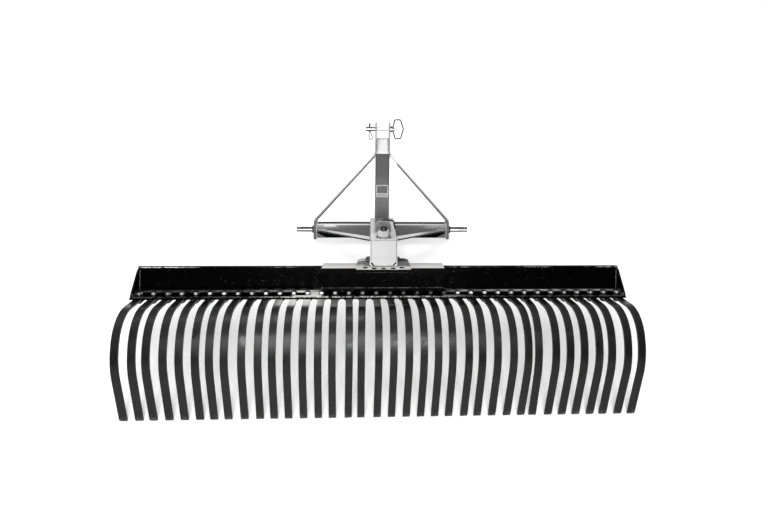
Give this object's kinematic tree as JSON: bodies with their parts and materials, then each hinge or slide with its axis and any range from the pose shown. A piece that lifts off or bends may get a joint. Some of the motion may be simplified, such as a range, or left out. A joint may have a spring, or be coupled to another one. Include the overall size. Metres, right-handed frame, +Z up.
{
  "type": "landscape rake",
  "caption": "Three-point-hitch landscape rake: curved spring tines under a steel angle toolbar that swivels on a king pin below a short boom with mast and hitch pins.",
  "frame": {"origin": "centre of the bounding box at its bottom, on the ground the rake rests on", "axes": "+X to the right seen from behind, +Y forwards towards the tractor side, +Z up, as the rake rests unhitched"},
  "size_m": [1.8288, 1.0946, 0.4083],
  "materials": {
    "black_paint": "gloss, scuffed",
    "tine_steel": "semi-gloss, dark",
    "grey_paint": "satin",
    "zinc_plate": "bright plated",
    "plate": "satin, blank"
  },
  "bodies": {
    "hitch_frame": {"blank_plate": "plate", "boom": "grey_paint", "boom_cap": "grey_paint", "boom_front_plate": "grey_paint", "brace_left": "grey_paint", "brace_right": "grey_paint", "cross_tube": "grey_paint", "lock_bracket": "grey_paint", "lock_pin": "zinc_plate", "lower_pin_left": "zinc_plate", "lower_pin_right": "zinc_plate", "mast": "grey_paint", "mast_head": "grey_paint", "pull_ring": "zinc_plate", "spring_clip": "zinc_plate", "strap_left": "grey_paint", "strap_right": "grey_paint", "top_link_pin": "zinc_plate"},
    "rake_head": {"centre_angle": "black_paint", "end_plate_left": "black_paint", "end_plate_right": "black_paint", "index_plate": "black_paint", "king_nut": "zinc_plate", "king_pin": "zinc_plate", "king_washer": "zinc_plate", "tines_1": "tine_steel", "tines_2": "tine_steel", "tines_3": "tine_steel", "tines_4": "tine_steel", "tines_5": "tine_steel", "tines_6": "tine_steel", "toolbar": "black_paint"}
  },
  "joints": [
    {"name": "head_swivel", "type": "hinge", "parent": "hitch_frame", "child": "rake_head", "pos_m": [0, -0.10698, 0.28243], "axis": [0, 0.6904, 0.7234], "range_deg": [-30, 30]}
  ]
}
